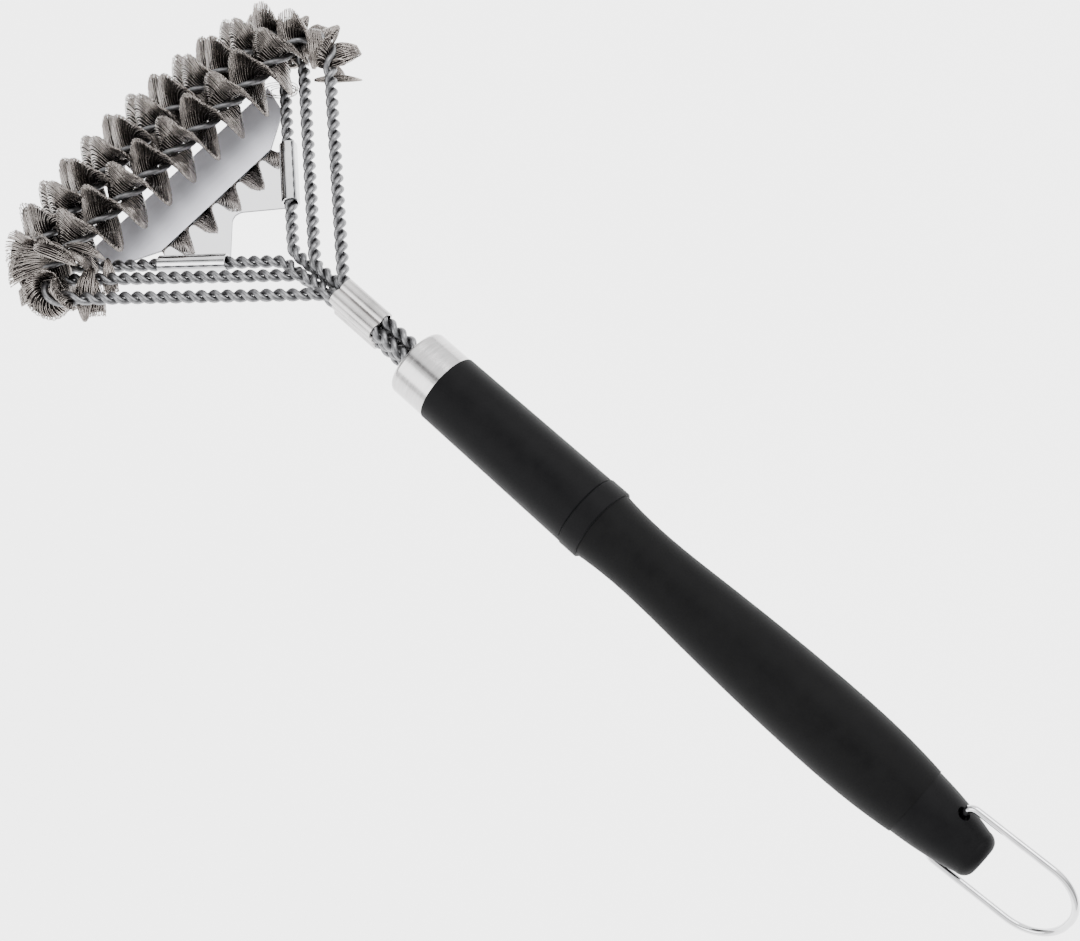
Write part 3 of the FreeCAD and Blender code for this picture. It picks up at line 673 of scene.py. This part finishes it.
def plate_spot(x, y, depth):
    """A point on the folded sheet: x across, y forward along the sheet, depth from its lower face."""
    drop = math.radians(PLATE["drop"])
    past = np.maximum(0.0, y - PLATE["bend"] + PLATE["round"])
    turned = np.minimum(past / (2 * PLATE["round"]), 1.0) * drop
    blend = np.minimum(past, 2 * PLATE["round"])
    straight = past - blend
    fall = blend * turned / 2 + straight * math.sin(drop)
    ahead = y - past + blend * np.cos(turned / 2) + straight * math.cos(drop)
    height = PLATE["level"] - fall + depth * np.cos(turned)
    ahead = ahead + depth * np.sin(turned)
    return APEX + np.outer(x, (1, 0, 0)) + np.outer(ahead, AHEAD) + np.outer(height, ABOVE)


def notch_edge(y):
    """Half width of the notch at the back of the web, with a rounded bottom."""
    slope = OUTLINE[0][1] / (PLATE["notch"] - OUTLINE[0][0])
    half_angle = math.atan(slope)
    radius = PLATE["notch_round"]
    middle = PLATE["notch"] - radius / math.sin(half_angle)
    tangent = middle + radius * math.sin(half_angle)
    if y < tangent:
        return slope * (PLATE["notch"] - y)
    return math.sqrt(max(0.0, radius ** 2 - (y - middle) ** 2))


def plate_rows(start, end):
    """Cross rows of the sheet with their inner and outer half widths."""
    keys = [y for y, _ in OUTLINE if start <= y <= end]
    stations = sorted(set(np.round(np.arange(start, end, PLATE["row"]), 3).tolist() + keys + [end]))
    widths = np.interp(stations, [y for y, _ in OUTLINE], [w for _, w in OUTLINE])
    return [(y, notch_edge(y) if y < PLATE["notch"] else 0.0, w) for y, w in zip(stations, widths)]


def sheet_piece(name, look, start, end, edges, replaces=()):
    """One part of the folded sheet. Its cut edges go into their own piece."""
    rows = plate_rows(start, end)
    build = Build()
    columns = COLUMNS
    for sign in (1, -1):
        points = []
        for depth in (PLATE["thick"], 0.0):
            for y, inner, outer in rows:
                x = sign * np.linspace(inner, outer, columns)
                points.append(plate_spot(x, np.full(columns, y), depth))
        layer = len(rows) * columns
        faces = []
        walls = []
        for i in range(len(rows) - 1):
            for k in range(columns - 1):
                corner = i * columns + k
                quad = [corner, corner + 1, corner + columns + 1, corner + columns]
                quad = quad if sign > 0 else quad[::-1]
                faces.append(tuple(quad))
                faces.append(tuple(layer + v for v in quad[::-1]))
            for k in (0, columns - 1):
                if k == 0 and rows[i][1] == 0 and rows[i + 1][1] == 0:
                    continue
                edge = [i * columns + k, (i + 1) * columns + k]
                wall = [edge[0], edge[1], layer + edge[1], layer + edge[0]]
                walls.append(tuple(wall if (k == 0) == (sign > 0) else wall[::-1]))
        for i in (0, len(rows) - 1):
            for k in range(columns - 1):
                edge = [i * columns + k, i * columns + k + 1]
                wall = [edge[0], layer + edge[0], layer + edge[1], edge[1]]
                walls.append(tuple(wall if (i == 0) == (sign > 0) else wall[::-1]))
        build.add(np.concatenate(points), faces)
        edges.add(np.concatenate(points), walls)
    return build.piece(name, look, "scraper_steel", replaces, smooth=False)


def sleeves(name):
    """The two tabs rolled round the bottom arms."""
    build = Build()
    sides = SLEEVE_SIDES
    outer = PLATE["bore"] + PLATE["thick"]
    length = PLATE["sleeve_end"] - PLATE["sleeve_start"]
    profile = [(0.0, PLATE["lip_bore"]), (0.0, PLATE["lip_outer"]),
               (PLATE["lip_out"], outer), (length - PLATE["lip_out"], outer),
               (length, PLATE["lip_outer"]), (length, PLATE["lip_bore"]),
               (length - PLATE["lip_in"], PLATE["bore"]), (PLATE["lip_in"], PLATE["bore"])]
    for sign in (1, -1):
        along = ARM * np.array([sign, 1, 1])
        first = unit(np.cross(along, ABOVE))
        second = np.cross(along, first)
        turn = np.arange(sides) * 2 * math.pi / sides
        ring = np.outer(np.cos(turn), first) + np.outer(np.sin(turn), second)
        points = np.concatenate([APEX + along * (PLATE["sleeve_start"] + ahead) + ring * radius
                                 for ahead, radius in profile])
        faces = []
        count = len(profile)
        for i in range(count):
            a, b = i * sides, ((i + 1) % count) * sides
            for k in range(sides):
                n = (k + 1) % sides
                faces.append((a + k, b + k, b + n, a + n))
        build.add(points, faces)
    return build.piece(name, "scraper_steel", "scraper_steel", smooth=False)


def soften(obj):
    """Smooth shading that keeps the real creases."""
    obj.data.polygons.foreach_set("use_smooth", [True] * len(obj.data.polygons))
    obj.data.set_sharp_from_angle(angle=CREASE_ANGLE)


cut_edges = Build()
web = sheet_piece("scraper_plate_web", "scraper_web", OUTLINE[0][0], PLATE["bend"], cut_edges,
                  replaces=["scraper_plate"])
# The blade carries the pale look with its painted reflection.
blade = sheet_piece("scraper_plate_blade", "blade_satin_painted_reflection", PLATE["bend"], OUTLINE[-1][0], cut_edges)
cut_edges.piece("scraper_plate_edges", "cut_steel", "scraper_steel", smooth=False)
tabs = sleeves("scraper_plate_sleeves")
for sheet_part in (web, blade, tabs):
    soften(sheet_part)

# ---------------------------------------------------------------- CAD pieces shown as packed

LOOKS = {
    "crimp_ferrule": "crimp_steel", "steel_collar": "collar_steel",
    "wire_anchor": "inner_steel", "core_tube": "inner_steel", "handle_tube": "black_plastic",
    "joint_ring": "black_plastic", "grip_core": "core_plastic", "grip_sleeve": "grip_rubber",
    "end_cap": "black_plastic", "hang_loop": "loop_chrome",
}
for name, look in LOOKS.items():
    obj = nodes[name]
    for index in range(len(obj.material_slots)):
        obj.material_slots[index].link = "OBJECT"
        obj.material_slots[index].material = MAT[look]

# ---------------------------------------------------------------- stage, lights and camera

# Metres. The floor lies well below the brush, so that no contact shadow falls on it.
FLOOR_HALF = 6
FLOOR_DROP = 0.30
FLOOR_GLOW = 2.2

# Brightness of the surroundings and of the two soft boxes in them, and the share of it that the dark
# band keeps.
SURROUND, RIGHT_BOX, LEFT_BOX = 1.02, 1.5, 1.2
BAND_SHARE = 0.1


def add_floor():
    look = textured("floor_look", (0.93, 0.93, 0.93), (0.95, 0.95, 0.95), (0.8, 0.9), 0.0, 4)
    glow = look.node_tree.nodes["Principled BSDF"].inputs
    glow["Emission Color"].default_value = (1, 1, 1, 1)
    glow["Emission Strength"].default_value = FLOOR_GLOW
    mesh = bpy.data.meshes.new("floor")
    corners = [(-FLOOR_HALF, -FLOOR_HALF, 0), (FLOOR_HALF, -FLOOR_HALF, 0),
               (FLOOR_HALF, FLOOR_HALF, 0), (-FLOOR_HALF, FLOOR_HALF, 0)]
    mesh.from_pydata(corners, [], [(0, 1, 2, 3)])
    mesh.materials.append(look)
    obj = bpy.data.objects.new("floor", mesh)
    obj.location = (0, 0, float(cad_bounds[0][2]) - FLOOR_DROP)
    bpy.context.scene.collection.objects.link(obj)


def maths(tree, operation, first, second=None):
    made = tree.nodes.new("ShaderNodeMath")
    made.operation = operation
    for index, value in enumerate((first, second)):
        if value is None:
            continue
        if isinstance(value, (int, float)):
            made.inputs[index].default_value = value
        else:
            tree.links.new(value, made.inputs[index])
    return made.outputs["Value"]


def along_direction(tree, source, direction):
    made = tree.nodes.new("ShaderNodeVectorMath")
    made.operation = "DOT_PRODUCT"
    tree.links.new(source, made.inputs[0])
    made.inputs[1].default_value = direction
    return made.outputs["Value"]


def soft_step(tree, value, low, high):
    made = tree.nodes.new("ShaderNodeMapRange")
    made.interpolation_type = "SMOOTHSTEP"
    tree.links.new(value, made.inputs["Value"])
    made.inputs["From Min"].default_value = low
    made.inputs["From Max"].default_value = high
    return made.outputs["Result"]


def make_studio():
    """Pale surroundings for the steel to reflect, with two soft boxes and a dark band between them."""
    world = bpy.data.worlds.new("studio")
    bpy.context.scene.world = world
    world.use_nodes = True
    tree = world.node_tree
    place = tree.nodes.new("ShaderNodeTexCoord").outputs["Generated"]
    past_band = maths(tree, "ABSOLUTE", along_direction(tree, place, (0.98, 0.0, 0.199)))
    gap = soft_step(tree, past_band, 0.05, 0.16)
    right_box = soft_step(tree, along_direction(tree, place, (0.62, 0.25, 0.74)), 0.45, 0.85)
    left_box = soft_step(tree, along_direction(tree, place, (-0.80, -0.25, 0.55)), 0.40, 0.85)
    right_light = maths(tree, "MULTIPLY", right_box, RIGHT_BOX)
    left_light = maths(tree, "MULTIPLY", left_box, LEFT_BOX)
    boxes = maths(tree, "ADD", right_light, left_light)
    total = maths(tree, "ADD", boxes, SURROUND)
    kept_share = maths(tree, "ADD", maths(tree, "MULTIPLY", gap, 1 - BAND_SHARE), BAND_SHARE)
    shaded = maths(tree, "MULTIPLY", total, kept_share)
    background = tree.nodes["Background"]
    background.inputs["Color"].default_value = (1, 1, 1, 1)
    tree.links.new(shaded, background.inputs["Strength"])


# The camera's directions and its distance from the handle frame's origin, in metres.
RIGHT = Vector((0.68811, -0.72272, -0.06454))
UP = Vector((0.69970, 0.63738, 0.32274))
FORWARD = Vector((0.19212, 0.26724, -0.94428))
EYE_DISTANCE = 0.6246
LENS, SENSOR = 60, 36


def area(name, target, offset, size, power):
    light = bpy.data.lights.new(name, "AREA")
    light.shape = "RECTANGLE"
    light.size, light.size_y = size
    light.energy = power
    obj = bpy.data.objects.new(name, light)
    obj.location = Vector(target) + Vector(offset)
    obj.rotation_euler = (-Vector(offset)).to_track_quat("-Z", "Y").to_euler()
    bpy.context.scene.collection.objects.link(obj)


def add_camera():
    data = bpy.data.cameras.new("photo_camera")
    data.sensor_fit = "HORIZONTAL"
    data.sensor_width = SENSOR
    data.lens = LENS
    data.clip_start = 0.02
    obj = bpy.data.objects.new("photo_camera", data)
    eye = Vector(BASE) - FORWARD * EYE_DISTANCE
    obj.matrix_world = Matrix.Translation(eye) @ Matrix((RIGHT, UP, -FORWARD)).transposed().to_4x4()
    bpy.context.scene.collection.objects.link(obj)
    bpy.context.scene.camera = obj


add_floor()
make_studio()
centre = (Vector(cad_bounds[0]) + Vector(cad_bounds[1])) / 2
area("key", centre, UP * 0.9 + RIGHT * 0.5 - FORWARD * 0.9, (0.9, 0.6), 14)
area("fill", centre, RIGHT * -1.0 - FORWARD * 0.8 - UP * 0.2, (0.7, 0.9), 8)
add_camera()
